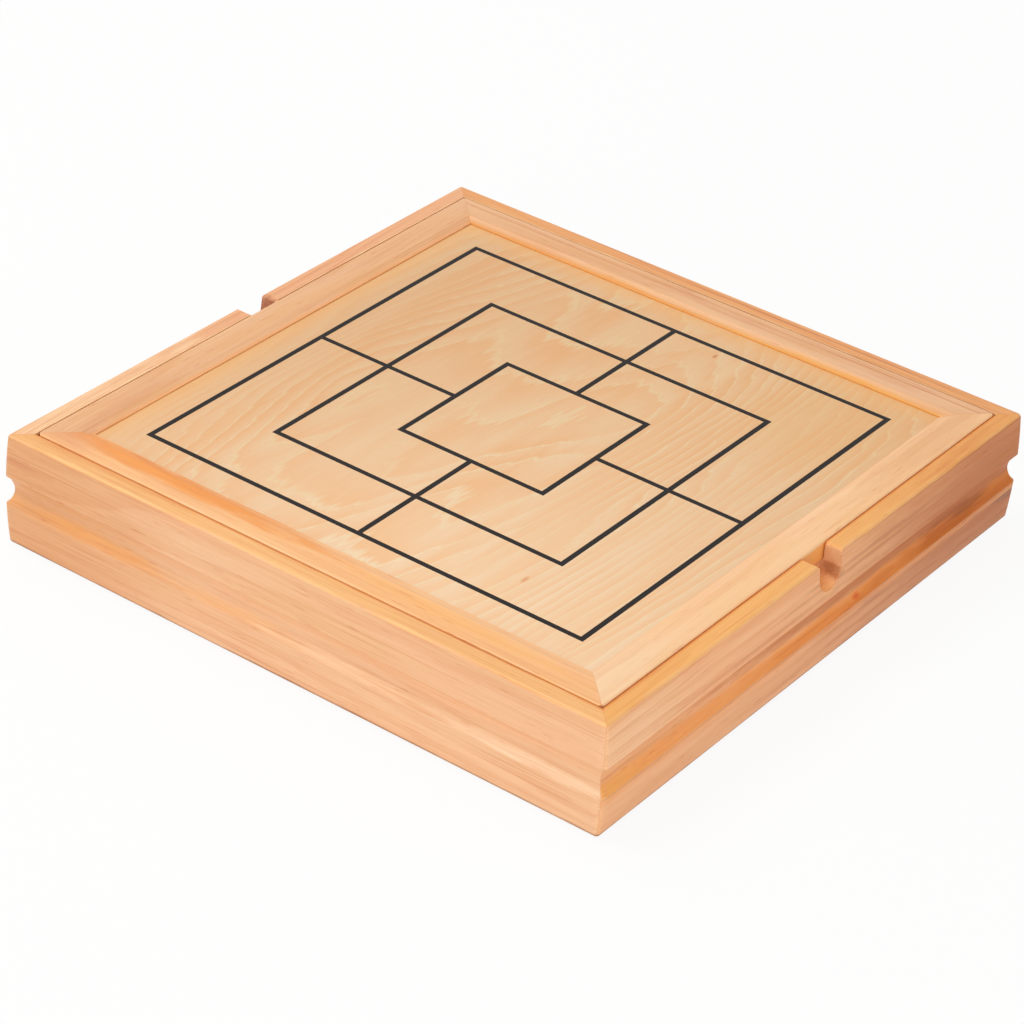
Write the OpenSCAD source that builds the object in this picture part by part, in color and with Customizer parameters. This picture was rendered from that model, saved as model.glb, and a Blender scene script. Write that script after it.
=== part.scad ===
// Wooden games compendium: a shallow square pine case with a lift-off board for a lid.
// The origin is the centre of the underside, +Z is up and -Y is the front.
// The lid shows nine men's morris and carries a chequered board on its underside.
// The case is divided into bays that hold chessmen, draughtsmen, dominoes, cards, dice and sticks.

/* [Case] */
// Width and depth of the square case over the fullest part of its sides
case_w = 292; // [286:2:360]
// Height of the rim above the table
rim_h = 49.6; // [47:0.2:64]
// Thickness of a side at its fullest part
side_t = 16; // [13:0.2:19.4]
// Radius of the crowned outer face of a side
crown_r = 225; // [180:5:400]
// Rounding of the outer arrises
arris_r = 1.2; // [0.6:0.1:2]
// Width of the cove that runs round the case
cove_w = 13.2; // [8:0.2:15]
// Depth of that cove
cove_d = 3.4; // [1.5:0.1:4]
// Height of the middle of the cove
cove_z = 24.6; // [20:0.2:28]
// Thickness of the tongue that stands round the lid
tongue_t = 7.7; // [5.4:0.1:8.4]
// Rounding of the case's upright corners, where the case is fullest
corner_r = 3; // [2:0.1:5]

/* [Finger notches] */
// Width of a finger notch in the left and right rims
notch_w = 15.6; // [12:0.2:22]
// Depth of a finger notch below the rim
notch_drop = 14.2; // [10:0.2:17]
// Shift of the notches from the middle of the side, towards the back
notch_shift = 0.8; // [-3:0.1:3]
// Width of the ease along a notch's upper edges
notch_ease = 1.1; // [0.4:0.1:2]

/* [Bottom] */
// Thickness of the bottom panel
bottom_t = 4; // [3:0.2:5]
// Height of the bottom panel above the table
bottom_lift = 4; // [2:0.2:5]
// Depth of the groove that holds the bottom panel
bottom_groove = 5; // [3:0.2:6]

/* [Lid] */
// Thickness of the lid's frame
frame_t = 8; // [7:0.2:10]
// Width of the lid's frame
frame_w = 16; // [12:0.5:17]
// How far the lid's frame stands above the rim
lid_proud = 0.4; // [0:0.1:1.5]
// Gap between the lid and the tongue all round
lid_gap = 0.6; // [0.4:0.1:1.6]
// Rounding of the lid's outer arris
lid_arris = 0.8; // [0.3:0.1:1.5]
// Width clipped off the lid's corners
lid_clip = 1.6; // [0.4:0.1:3]
// Thickness of the lid's panel
panel_t = 4; // [3:0.2:5]
// How far the panel lies below the frame's top
panel_drop = 1.6; // [1:0.1:2.4]
// Depth of the groove that holds the panel
panel_groove = 5.5; // [3:0.5:7]
// Width of the cove on the frame's inner edge
scoop_w = 4; // [2:0.2:6]
// Height of the square lip left between that cove and the panel
lip_h = 0.5; // [0.3:0.1:0.9]

/* [Boards] */
// Distance from one morris square to the next
line_pitch = 35; // [24:0.5:38]
// Width of a morris line
line_w = 2.4; // [1:0.1:3]
// Shift of the morris print from the middle of the panel, towards the back
print_shift = -0.4; // [-1:0.1:1]
// Side of one chequered square
check_w = 28; // [22:0.5:28.5]
// Width of the line round the chequered board
check_border = 1.5; // [0.8:0.1:2.5]
// Thickness of the ink, sunk flush into the panel
ink_t = 0.3; // [0.2:0.05:0.5]

/* [Dividers] */
// Thickness of a divider
divider_t = 4; // [3:0.2:5]
// Height of a divider
divider_h = 30; // [26:0.5:32]

/* [Cards] */
// Width of a playing card
card_w = 57; // [52:1:60]
// Length of a playing card
card_l = 88; // [82:1:92]
// Thickness of a pack of cards
pack_t = 14.5; // [10:0.5:15]
// Corner radius of a card
card_r = 3.5; // [2:0.5:5]

/* [Dominoes] */
// Width of a domino; its length is twice this
domino_w = 19.6; // [17:0.2:20]
// Thickness of a domino
domino_t = 6; // [5:0.2:7]
// Corner radius of a domino
domino_r = 1.2; // [0.4:0.1:2]
// Diameter of a drilled pip on a domino
domino_pip_d = 3.4; // [2:0.1:4]
// Depth of a drilled pip on a domino
domino_pip_depth = 0.6; // [0.3:0.1:1]

/* [Dice and sticks] */
// Side of a die
die_w = 14; // [12:0.5:16]
// Diameter of a drilled pip on a die
die_pip_d = 2.6; // [1.8:0.1:3]
// Depth of a drilled pip on a die
die_pip_depth = 0.5; // [0.3:0.1:0.8]
// Number of dice
die_count = 5; // [2:1:6]
// Length of a pick-up stick
stick_l = 180; // [150:5:190]
// Diameter of a pick-up stick
stick_d = 3; // [2.4:0.1:3.4]
// Gap between neighbouring sticks in the bundle
stick_gap = 0.2; // [0.1:0.05:0.3]
// Number of pick-up sticks
stick_count = 31; // [21:1:31]

/* [Draughtsmen] */
// Diameter of a draughtsman
man_d = 22; // [18:0.5:24]
// Thickness of a draughtsman
man_t = 7; // [5:0.5:8]
// Number of draughtsmen of each colour
man_count = 12; // [12:1:12]

/* [Chessmen] */
// Height of a pawn
pawn_h = 24; // [20:0.5:26]
// Height of a rook
rook_h = 27; // [23:0.5:28]
// Height of a knight
knight_h = 29.5; // [26:0.5:29.5]
// Height of a bishop
bishop_h = 36; // [32:0.5:40]
// Height of a queen
queen_h = 42; // [38:0.5:44]
// Height of a king
king_h = 47; // [42:0.5:48]
// Diameter of a pawn's foot
pawn_d = 14; // [12:0.5:15]
// Diameter of a rook's, knight's or bishop's foot
officer_d = 16.5; // [14:0.5:18]
// Diameter of a queen's or king's foot
royal_d = 18.5; // [16:0.5:20]

/* [Clearances] */
// Clearance of a panel or a divider in its groove or slot, on each side
fit = 0.1; // [0.05:0.05:0.3]
// Room left at the edge of a panel in its groove, for the wood to move
swell = 0.5; // [0.3:0.1:1]
// Gap between loose pieces, and between them and the walls of their bay
slack = 0.8; // [0.4:0.1:1.2]
// Gap between ink and the ink next to it
ink_gap = 0.3; // [0.1:0.1:0.6]
// Gap under a round piece that lies on its side, and between pieces in a stack
rest_gap = 0.05; // [0.02:0.01:0.1]

/* [Hidden] */
$fn = 64;
case_half = case_w / 2;
inner_half = case_half - side_t;
crown_drop = crown_r - sqrt(crown_r * crown_r - rim_h * rim_h / 4);
// The tongue is measured at the rim, where the crowned face has drawn in
tongue_half = case_half - crown_drop - tongue_t;
cove_r = (cove_w * cove_w / 4 + cove_d * cove_d) / (2 * cove_d);
lid_half = tongue_half - lid_gap;
open_half = lid_half - frame_w;
lid_top = rim_h + lid_proud;
ledge_z = lid_top - frame_t;
panel_top = lid_top - panel_drop;
panel_z = panel_top - panel_t;
panel_half = open_half + panel_groove - swell;
scoop_drop = panel_drop - lip_h;
scoop_r = (scoop_w * scoop_w + scoop_drop * scoop_drop) / (2 * scoop_drop);
notch_floor = rim_h - notch_drop;
floor_z = bottom_lift + bottom_t;
bottom_half = inner_half + bottom_groove - swell;

// The bays: a trough for dice and sticks at the front, then two rows of three bays
trough_w = 2 * die_w + 3 * slack;
dice_bay = 3 * die_w + 4 * slack;
side_bay = card_w + 5 * slack;
front_y = -inner_half + trough_w + divider_t / 2;
row_depth = (inner_half - front_y - 1.5 * divider_t) / 2;
middle_y = front_y + divider_t + row_depth;
row_y = [front_y + divider_t / 2, middle_y + divider_t / 2];
column_x = inner_half - side_bay - divider_t / 2;
dice_x = inner_half - dice_bay - divider_t / 2;
centre_half = column_x - divider_t / 2;

// Points on an arc, from one angle to another
function arc(centre, r, from, to, steps) =
    [for (i = [0:steps]) let (angle = from + (to - from) * i / steps) centre + r * [cos(angle), sin(angle)]];

// Removes the corner of a 2D profile at a point, leaving a quarter round; sx and sy point out of the corner
module round_corner(at, r, sx, sy) {
    translate(at) scale([sx, sy])
        difference() {
            translate([-r, -r]) square(r + 1);
            translate([-r, -r]) circle(r);
        }
}

// A profile drawn as distance from the centre and height, run along the +X side and mitred
module mitred_length(half) {
    intersection() {
        rotate([90, 0, 0]) linear_extrude(height = 2 * half, center = true) children();
        linear_extrude(height = lid_top + 1) polygon([[0, 0], [half, -half], [half, half]]);
    }
}

// Section of a side: crowned face, running cove, rebate for the lid and groove for the bottom
module side_profile() {
    difference() {
        intersection() {
            translate([inner_half, 0]) square([side_t, rim_h]);
            translate([case_half - crown_r, rim_h / 2]) circle(crown_r, $fn = 720);
        }
        translate([case_half - cove_d + cove_r, cove_z]) circle(cove_r);
        translate([inner_half - 1, ledge_z]) square([tongue_half - inner_half + 1, rim_h]);
        translate([inner_half - 1, bottom_lift - fit]) square([bottom_groove + 1, bottom_t + 2 * fit]);
        round_corner([case_half - crown_drop, rim_h], arris_r, 1, 1);
        round_corner([case_half - crown_drop, 0], arris_r, 1, -1);
    }
}

// What rounding takes off the case's +X +Y corner: there the section turns about an upright axis
module corner_waste() {
    axis = case_half - corner_r;
    translate([axis, axis, 0])
        difference() {
            translate([0, 0, -1]) cube([corner_r + 1, corner_r + 1, rim_h + 2]);
            rotate_extrude()
                intersection() {
                    translate([-axis, 0]) side_profile();
                    square([corner_r, rim_h]);
                }
        }
}

module side() {
    difference() {
        mitred_length(case_half) side_profile();
        corner_waste();
        mirror([0, 1, 0]) corner_waste();
    }
}

// U-shaped notch through the tongue and a little into the ledge, on the +X side
module finger_notch(shift) {
    translate([tongue_half - lid_gap / 2, shift, notch_floor + notch_w / 2]) {
        rotate([0, 90, 0]) cylinder(d = notch_w, h = side_t);
        translate([0, -notch_w / 2, 0]) cube([side_t, notch_w, rim_h]);
        for (edge = [-1, 1])
            translate([side_t / 2, edge * notch_w / 2, notch_drop - notch_w / 2])
                rotate([45, 0, 0]) cube([side_t, notch_ease * sqrt(2), notch_ease * sqrt(2)], center = true);
    }
}

module notched_side(shift) {
    difference() {
        side();
        finger_notch(shift);
    }
}

module front_side() { color("burlywood") rotate(-90) side(); }
module back_side() { color("burlywood") rotate(90) side(); }
module right_side() { color("peru") notched_side(notch_shift); }
module left_side() { color("peru") rotate(180) notched_side(-notch_shift); }

module bottom_panel() {
    color("wheat") translate([-bottom_half, -bottom_half, bottom_lift])
        cube([2 * bottom_half, 2 * bottom_half, bottom_t]);
}

// A slot that halves a divider over the divider that crosses it, centred on the origin in plan
module halving(length_x, length_y, from_z) {
    translate([-length_x / 2, -length_y / 2, from_z]) cube([length_x, length_y, divider_h / 2 + 1]);
}

// A divider across the case; the others drop into slots in its upper half
module cross_divider(y, slots) {
    slot_w = divider_t + 2 * fit;
    translate([0, y, floor_z])
        difference() {
            translate([-inner_half + fit, -divider_t / 2, 0])
                cube([2 * (inner_half - fit), divider_t, divider_h]);
            for (x = slots) translate([x, 0, 0]) halving(slot_w, slot_w, divider_h / 2);
        }
}

module front_divider() { color("tan") cross_divider(front_y, [-column_x, column_x, dice_x]); }
module middle_divider() { color("tan") cross_divider(middle_y, [-column_x, column_x]); }

// A divider from front to back; a tongue on its upper half fills the slot of the front divider
module long_divider(x) {
    slot_w = divider_t + 2 * fit;
    back = inner_half - fit;
    front = row_y[0] + fit;
    translate([x, 0, floor_z])
        difference() {
            union() {
                translate([-divider_t / 2, front, 0]) cube([divider_t, back - front, divider_h]);
                translate([-divider_t / 2, front_y - divider_t / 2, divider_h / 2 + fit])
                    cube([divider_t, front - front_y + divider_t, divider_h / 2 - fit]);
            }
            translate([0, middle_y, 0]) halving(slot_w, slot_w, fit - 1);
        }
}

module left_divider() { color("tan") long_divider(-column_x); }
module right_divider() { color("tan") long_divider(column_x); }

module dice_divider() {
    back = front_y - divider_t / 2 - fit;
    color("tan") translate([dice_x - divider_t / 2, 0, floor_z]) {
        translate([0, -inner_half + fit, 0]) cube([divider_t, back + inner_half - fit, divider_h]);
        translate([0, back - 1, divider_h / 2 + fit])
            cube([divider_t, divider_t + fit + 1, divider_h / 2 - fit]);
    }
}

// One stick with pointed ends, lying along X from the origin
module stick() {
    r = stick_d / 2;
    point_l = 3 * stick_d;
    rotate([0, 90, 0]) rotate_extrude($fn = 24)
        polygon([[0, 0], [r, point_l], [r, stick_l - point_l], [0, stick_l]]);
}

// The sticks lie in a closely packed bundle, each layer in the hollows of the one below
module pick_up_sticks() {
    pitch = stick_d + stick_gap;
    per_layer = 8;
    stagger = 2;
    first_x = -inner_half + 4 * slack;
    first_y = -inner_half + slack + stick_d / 2;
    color("sandybrown")
        for (i = [0:stick_count - 1]) {
            layer = floor(i / per_layer);
            translate([first_x + stagger * (i % 3),
                       first_y + pitch * (i % per_layer + layer % 2 / 2),
                       floor_z + rest_gap + stick_d / 2 + layer * pitch * sin(60)]) stick();
        }
}

// Places of the pips for a number from 0 to 6, on a grid from -1 to 1
function pips(n) = concat(
    n % 2 == 1 ? [[0, 0]] : [],
    n > 1 ? [[-1, -1], [1, 1]] : [],
    n > 3 ? [[-1, 1], [1, -1]] : [],
    n == 6 ? [[-1, 0], [1, 0]] : []);

// Shallow round hollows for a number, sunk below height 0 and centred on the origin
module pip_hollows(n, pitch, d, depth) {
    ball_r = (d * d / 4 + depth * depth) / (2 * depth);
    for (p = pips(n)) translate([pitch * p.x, pitch * p.y, ball_r - depth]) sphere(ball_r);
}

// Opposite faces of a die add up to seven
die_faces = [[1, [0, 0, 0]], [6, [180, 0, 0]], [2, [0, 90, 0]],
             [5, [0, -90, 0]], [3, [-90, 0, 0]], [4, [90, 0, 0]]];

// A cube whose corners and edges a ball has rounded off, centred on the origin
module die() {
    roundness = 1.42;
    pip_pitch = 0.26 * die_w;
    difference() {
        intersection() {
            cube(die_w, center = true);
            sphere(d = die_w * roundness);
        }
        for (face = die_faces)
            rotate(face[1]) translate([0, 0, die_w / 2])
                pip_hollows(face[0], pip_pitch, die_pip_d, die_pip_depth);
    }
}

module dice() {
    pitch = die_w + slack;
    color("ivory")
        for (i = [0:die_count - 1])
            translate([inner_half - slack - die_w / 2 - pitch * (i % 3),
                       -inner_half + slack + die_w / 2 + pitch * floor(i / 3), floor_z + die_w / 2])
                rotate([90 * i, 90 * (i % 3), 0]) die();
}

// A plate with round corners, one corner at the origin
module rounded_plate(x, y, t, r) {
    linear_extrude(height = t) {
        translate([r, 0]) square([x - 2 * r, y]);
        translate([0, r]) square([x, y - 2 * r]);
        for (cx = [r, x - r], cy = [r, y - r]) translate([cx, cy]) circle(r);
    }
}

// A pack of cards lying flat
module card_pack() {
    rounded_plate(card_w, card_l, pack_t, card_r);
}

module stacked_pack(level) {
    x = -inner_half + 2.5 * slack;
    y = row_y[0] + 2 * slack;
    translate([x, y, floor_z + level * (pack_t + rest_gap)]) card_pack();
}

module red_card_pack() { color("firebrick") stacked_pack(0); }
module blue_card_pack() { color("steelblue") stacked_pack(1); }

// A domino lying along X, with a score across its middle and the pips of two numbers
module domino(numbers) {
    score_w = 1;
    score_d = 0.5;
    pip_pitch = 0.27 * domino_w;
    difference() {
        rounded_plate(2 * domino_w, domino_w, domino_t, domino_r);
        translate([domino_w - score_w / 2, -1, domino_t - score_d])
            cube([score_w, domino_w + 2, score_d + 1]);
        for (end = [0, 1])
            translate([(end + 0.5) * domino_w, domino_w / 2, domino_t])
                rotate(90) pip_hollows(numbers[end], pip_pitch, domino_pip_d, domino_pip_depth);
    }
}

// A double-six set; the pieces go into the box shuffled, five across the bay and two along its side
double_six = [for (a = [0:6], b = [a:6]) [a, b]];

module dominoes() {
    pitch = domino_w + slack / 2;
    side_pitch = 2 * domino_w + slack / 2;
    across = 5;
    per_layer = across + 2;
    shuffle = 11;
    x0 = -inner_half + slack / 2;
    y0 = row_y[1] + slack;
    color("sienna")
        for (i = [0:len(double_six) - 1]) {
            place = i % per_layer;
            numbers = double_six[i * shuffle % len(double_six)];
            translate([0, 0, floor_z + (domino_t + rest_gap) * floor(i / per_layer)])
                if (place < across)
                    translate([x0, y0 + pitch * place, 0]) domino(numbers);
                else
                    translate([x0 + 3 * domino_w + slack / 2, y0 + side_pitch * (place - across), 0])
                        rotate(90) domino(numbers);
        }
}

// A turned disc with a hollow ring and a dished middle on both faces
module draughtsman() {
    edge_r = 1.4;
    ring_r = 0.36 * man_d;
    ring_cut = 1.1;
    dish_r = 0.24 * man_d;
    dish_depth = 0.6;
    rotate_extrude()
        difference() {
            union() {
                square([man_d / 2 - edge_r, man_t]);
                translate([0, edge_r]) square([man_d / 2, man_t - 2 * edge_r]);
                for (z = [edge_r, man_t - edge_r]) translate([man_d / 2 - edge_r, z]) circle(edge_r);
            }
            for (z = [0, man_t]) translate([ring_r, z]) circle(ring_cut);
            translate([0, man_t - dish_depth]) square([dish_r, 1]);
            translate([0, dish_depth - 1]) square([dish_r, 1]);
        }
}

// Six stacks of two, in a bay on the right
module stacked_men(row) {
    pitch = man_d + slack;
    for (i = [0:man_count - 1]) {
        stack = floor(i / 2);
        translate([inner_half - slack - man_d / 2 - pitch * (stack % 2),
                   row_y[row] + slack + man_d / 2 + pitch * floor(stack / 2),
                   floor_z + (man_t + rest_gap) * (i % 2)]) draughtsman();
    }
}

module light_draughtsmen() { color("wheat") stacked_men(0); }
module dark_draughtsmen() { color("saddlebrown") stacked_men(1); }

// Turned profiles, drawn as radius and height; every chessman stands on the same moulded foot
foot_h = 2.4;
collar_h = 1.6;
// Turned shapes run this far into the next one, so that they join
lap = 0.1;

// A disc with a half-round edge
module bead(r, z, h) {
    translate([0, z]) square([r - h / 2, h]);
    translate([r - h / 2, z + h / 2]) circle(h / 2);
}

// A hollow flank from a wide radius at its lower end to a narrow one at its upper end
module flank(r0, z0, r1, z1) {
    chord = norm([r0 - r1, z1 - z0]);
    sweep_r = 1.1 * chord;
    rise = sqrt(sweep_r * sweep_r - chord * chord / 4);
    middle = [(r0 + r1) / 2, (z0 + z1) / 2];
    outward = [z1 - z0, r0 - r1] / chord;
    difference() {
        translate([0, z0]) square([r0, z1 - z0]);
        translate(middle + rise * outward) circle(sweep_r);
    }
}

module foot(d, neck_r, neck_z) {
    r = d / 2;
    step_h = 1.2;
    bead(r, 0, foot_h);
    translate([0, foot_h - lap]) square([0.8 * r, step_h + lap]);
    flank(0.74 * r, foot_h + step_h - lap, neck_r, neck_z);
}

// Two collars under a head, the upper one ending at height z
module collars(upper_r, lower_r, z) {
    bead(upper_r, z - collar_h, collar_h);
    bead(lower_r, z - 2 * collar_h + 2 * lap, collar_h);
}

module half_round(r, z) {
    intersection() {
        translate([0, z]) circle(r);
        translate([0, z - r]) square([r, 2 * r]);
    }
}

module pawn() {
    head_r = 0.17 * pawn_h;
    neck_r = 2.2;
    head_lift = 0.5;
    neck_z = pawn_h - 2 * head_r - head_lift;
    rotate_extrude() {
        foot(pawn_d, neck_r, neck_z);
        bead(1.1 * head_r, neck_z - collar_h, collar_h);
        translate([0, neck_z - lap]) square([neck_r, head_r]);
        half_round(head_r, pawn_h - head_r);
    }
}

// A tower on the moulded foot, with a hollow top and four gaps in its battlements
module rook() {
    crown_r = 0.35 * officer_d;
    crown_h = 3.4;
    tower_r = 0.3 * officer_d;
    tower_h = 7;
    waist_r = 0.25 * officer_d;
    cup_depth = 2.2;
    wall_t = 1.8;
    gap_w = 1.8;
    neck_z = rook_h - tower_h;
    difference() {
        rotate_extrude() {
            foot(officer_d, waist_r, neck_z);
            bead(0.33 * officer_d, neck_z - collar_h, collar_h);
            translate([0, neck_z - lap]) square([tower_r, tower_h - crown_h + 2 * lap]);
            translate([0, rook_h - crown_h]) square([crown_r, crown_h]);
        }
        translate([0, 0, rook_h - cup_depth]) {
            cylinder(r = crown_r - wall_t, h = cup_depth + 1);
            for (a = [0, 90])
                rotate(a) translate([-officer_d / 2, -gap_w / 2, 0]) cube([officer_d, gap_w, cup_depth + 1]);
        }
    }
}

// The bishop's mitre is a pointed arch of this radius and half width, under a knob.
// mitre_half is half the arch's height, and mitre_z is where the mitre is widest
mitre_w = 4.8;
mitre_r = 7.2;
mitre_half = sqrt(mitre_r * mitre_r - (mitre_r - mitre_w) * (mitre_r - mitre_w));
knob_r = 1.3;
mitre_z = bishop_h - mitre_half - 1.3 * knob_r;

module bishop() {
    neck_r = 2.4;
    cut_w = 0.9;
    neck_z = mitre_z - mitre_half + neck_r;
    difference() {
        rotate_extrude() {
            foot(officer_d, neck_r, neck_z);
            collars(0.96 * mitre_w, 0.75 * mitre_w, neck_z);
            intersection() {
                translate([mitre_w - mitre_r, mitre_z]) circle(mitre_r);
                translate([0, neck_z - 2 * lap]) square([mitre_w, 2 * mitre_half]);
            }
            half_round(knob_r, bishop_h - knob_r);
        }
        translate([mitre_w / 2, 0, mitre_z + 0.6 * mitre_w])
            rotate([0, 50, 0]) cube([1.25 * mitre_w, 3 * mitre_w, cut_w], center = true);
    }
}

// The flared cup that a queen and a king share, on its two collars, up to its rim
module coronet(neck_z, rim_z, rim_r) {
    collars(0.92 * rim_r, 0.74 * rim_r, neck_z);
    translate([0, neck_z - lap + rim_z]) mirror([0, 1]) flank(rim_r, neck_z - lap, 0.56 * rim_r, rim_z);
}

// Radius and height of the queen's and king's rims, on which they rest when they lie down
queen_rim_r = 5.6;
queen_ball_r = 1.9;
queen_rim_z = queen_h - 1.9 * queen_ball_r;
king_rim_r = 5.8;
cross_h = 6.6;
king_rim_z = king_h - cross_h - 1;

// The queen's coronet has eight hollows in its rim and a ball in the middle
module queen() {
    coronet_h = 7;
    seat_r = 2.4;
    seat_h = 0.8;
    hollow_r = 1.1;
    neck_z = queen_rim_z - coronet_h;
    difference() {
        rotate_extrude() {
            foot(royal_d, 2.6, neck_z);
            coronet(neck_z, queen_rim_z, queen_rim_r);
            translate([0, queen_rim_z - lap]) square([seat_r, seat_h + lap]);
            half_round(queen_ball_r, queen_h - queen_ball_r);
        }
        for (i = [0:7])
            rotate(45 * (i + 0.5)) translate([queen_rim_r, 0, queen_rim_z])
                rotate([0, 90, 0]) cylinder(r = hollow_r, h = 3, center = true);
    }
}

// The king's coronet has a domed top that carries a cross with flared arms
module king() {
    coronet_h = 7.4;
    seat_r = 3.4;
    seat_h = 0.7;
    dome_r = 2.2;
    cross_t = 2;
    arm_w = 1.4;
    waist_w = 0.7;
    arm_l = 2.8;
    arm_z = cross_h - arm_l + 0.2;
    neck_z = king_rim_z - coronet_h;
    rotate_extrude() {
        foot(royal_d, 2.8, neck_z);
        coronet(neck_z, king_rim_z, king_rim_r);
        translate([0, king_rim_z - lap]) square([seat_r, seat_h + lap]);
        half_round(dome_r, king_rim_z + dome_r / 5);
    }
    translate([0, 0, king_h - cross_h]) rotate([90, 0, 0])
        linear_extrude(height = cross_t, center = true) {
            polygon([[-arm_w, cross_h], [arm_w, cross_h], [waist_w, arm_z],
                     [arm_w, 0], [-arm_w, 0], [-waist_w, arm_z]]);
            polygon([[-arm_l, arm_z - arm_w], [-arm_l, arm_z + arm_w], [0, arm_z + waist_w],
                     [arm_l, arm_z + arm_w], [arm_l, arm_z - arm_w], [0, arm_z - waist_w]]);
        }
}

// A horse's head sawn from the flat and set on the turned foot; it looks towards +X
module knight() {
    head_t = 7.4;
    foot_top = 6.6;
    head_h = 22;
    eye_r = 0.9;
    s = (knight_h - foot_top + 2 * lap) / head_h;
    mane = arc([2.6, 9.4], 9.8, 214, 138, 9);
    ears = [[-3.0, 19.2], [-1.6, head_h], [-0.2, 19.4]];
    face = [[1.8, 18.4], [4.2, 15.2], [7.0, 12.0]];
    muzzle = arc([6.6, 10.4], 1.7, 45, -90, 5);
    throat = arc([8.6, 5.4], 7.2, 142, 206, 6);
    outline = concat([[-5.2, 0]], mane, ears, face, muzzle, [[4.4, 9.2]], throat, [[4.6, 0]]);
    rotate_extrude() {
        foot(officer_d, 0.3 * officer_d, foot_top - 4 * lap);
        bead(0.38 * officer_d, foot_top - collar_h, collar_h);
    }
    translate([0, 0, foot_top - 2 * lap])
        difference() {
            intersection() {
                rotate([90, 0, 0]) linear_extrude(height = head_t, center = true) scale(s) polygon(outline);
                translate([0, 0, -1]) cylinder(r1 = 9.6, r2 = 7.4, h = knight_h);
            }
            for (side = [-1, 1]) translate([1.9 * s, side * head_t / 2, 16 * s]) sphere(eye_r, $fn = 24);
        }
}

// Lays a piece along +Y, tipped until its foot and its widest upper ring both reach the floor.
// ring is [radius, rounding of its edge, height above the foot's underside]
module laid_down(foot_d, ring) {
    edge = foot_h / 2;
    foot_r = foot_d / 2 - edge;
    a = foot_r - ring[0] + ring[1];
    b = ring[2] - edge;
    tip = acos((ring[1] - edge) / norm([a, b])) - atan2(b, a);
    lift = foot_r * cos(tip) + edge * sin(tip) + edge + rest_gap;
    translate([0, 0, floor_z + lift]) rotate([-90 - tip, 0, 0]) children();
}

// In each middle bay the pawns stand at the front, rooks and knights behind them, and the rest lie down
pawn_pitch = pawn_d + slack;
pawns_abreast = min(8, floor((2 * centre_half - slack) / pawn_pitch));
pawn_rows = ceil(8 / pawns_abreast);
officer_pitch = officer_d + 2 * slack;
officer_y = slack + pawn_rows * pawn_pitch + officer_d / 2;
lying_y = officer_y + officer_d / 2 + 3 * slack;

module pawns(row) {
    for (i = [0:7])
        translate([pawn_pitch * (i % pawns_abreast - (pawns_abreast - 1) / 2),
                   row_y[row] + slack + pawn_d / 2 + pawn_pitch * floor(i / pawns_abreast), floor_z]) pawn();
}

module rooks(row) {
    for (i = [-1.5, -0.5]) translate([i * officer_pitch, row_y[row] + officer_y, floor_z]) rook();
}

module knights(row) {
    for (i = [0.5, 1.5]) translate([i * officer_pitch, row_y[row] + officer_y, floor_z]) knight();
}

module bishops(row) {
    for (i = [-1.5, -0.5]) translate([i * officer_pitch, row_y[row] + lying_y, 0])
        laid_down(officer_d, [mitre_w, mitre_r, mitre_z]) bishop();
}

module lying_queen(row) {
    translate([(royal_d + slack) / 2, row_y[row] + lying_y, 0])
        laid_down(royal_d, [queen_rim_r, 0, queen_rim_z]) queen();
}

module lying_king(row) {
    translate([(royal_d + slack) * 1.5, row_y[row] + lying_y, 0])
        laid_down(royal_d, [king_rim_r, 0, king_rim_z]) king();
}

module light_pawns() { color("wheat") pawns(0); }
module light_rooks() { color("wheat") rooks(0); }
module light_knights() { color("wheat") knights(0); }
module light_bishops() { color("wheat") bishops(0); }
module light_queen() { color("wheat") lying_queen(0); }
module light_king() { color("wheat") lying_king(0); }
module dark_pawns() { color("saddlebrown") pawns(1); }
module dark_rooks() { color("saddlebrown") rooks(1); }
module dark_knights() { color("saddlebrown") knights(1); }
module dark_bishops() { color("saddlebrown") bishops(1); }
module dark_queen() { color("saddlebrown") lying_queen(1); }
module dark_king() { color("saddlebrown") lying_king(1); }

// Section of the lid's frame: a groove for the panel, and a cove that falls from the top to a small lip
module lid_profile() {
    difference() {
        translate([open_half, ledge_z]) square([frame_w, frame_t]);
        translate([open_half - 1, panel_z - fit]) square([panel_groove + 1, panel_t + 2 * fit]);
        translate([open_half, panel_top + lip_h + scoop_r]) circle(scoop_r);
        round_corner([lid_half, lid_top], lid_arris, 1, 1);
    }
}

// The rotated square clips the outer corners
module lid_rail() {
    across = sqrt(2) * (2 * lid_half - lid_clip);
    intersection() {
        mitred_length(lid_half) lid_profile();
        rotate(45) cube([across, across, 2 * lid_top + 2], center = true);
    }
}

module lid_front_rail() { color("sandybrown") rotate(-90) lid_rail(); }
module lid_back_rail() { color("sandybrown") rotate(90) lid_rail(); }
module lid_left_rail() { color("navajowhite") rotate(180) lid_rail(); }
module lid_right_rail() { color("navajowhite") lid_rail(); }

// A square line in plan; half is the distance from the centre to the middle of the line
module square_line(half, w) {
    difference() {
        square(2 * half + w, center = true);
        square(2 * half - w, center = true);
    }
}

// Nine men's morris: three squares and the four lines that join their middles
module morris_plan() {
    for (k = [1:3]) square_line(k * line_pitch, line_w);
    for (a = [0:90:270])
        rotate(a) translate([line_pitch, -line_w / 2]) square([2 * line_pitch, line_w]);
}

// The dark squares of an 8 by 8 board and the line round it, as seen from above
module chequer_plan() {
    for (i = [0:7], j = [0:7])
        if ((i + j) % 2 == 1)
            translate([(i - 3.5) * check_w, (j - 3.5) * check_w]) square(check_w - ink_gap, center = true);
    square_line(4 * check_w + ink_gap / 2 + check_border / 2, check_border);
}

module morris_ink() {
    translate([0, print_shift, panel_top - ink_t]) linear_extrude(height = ink_t) morris_plan();
}

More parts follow.
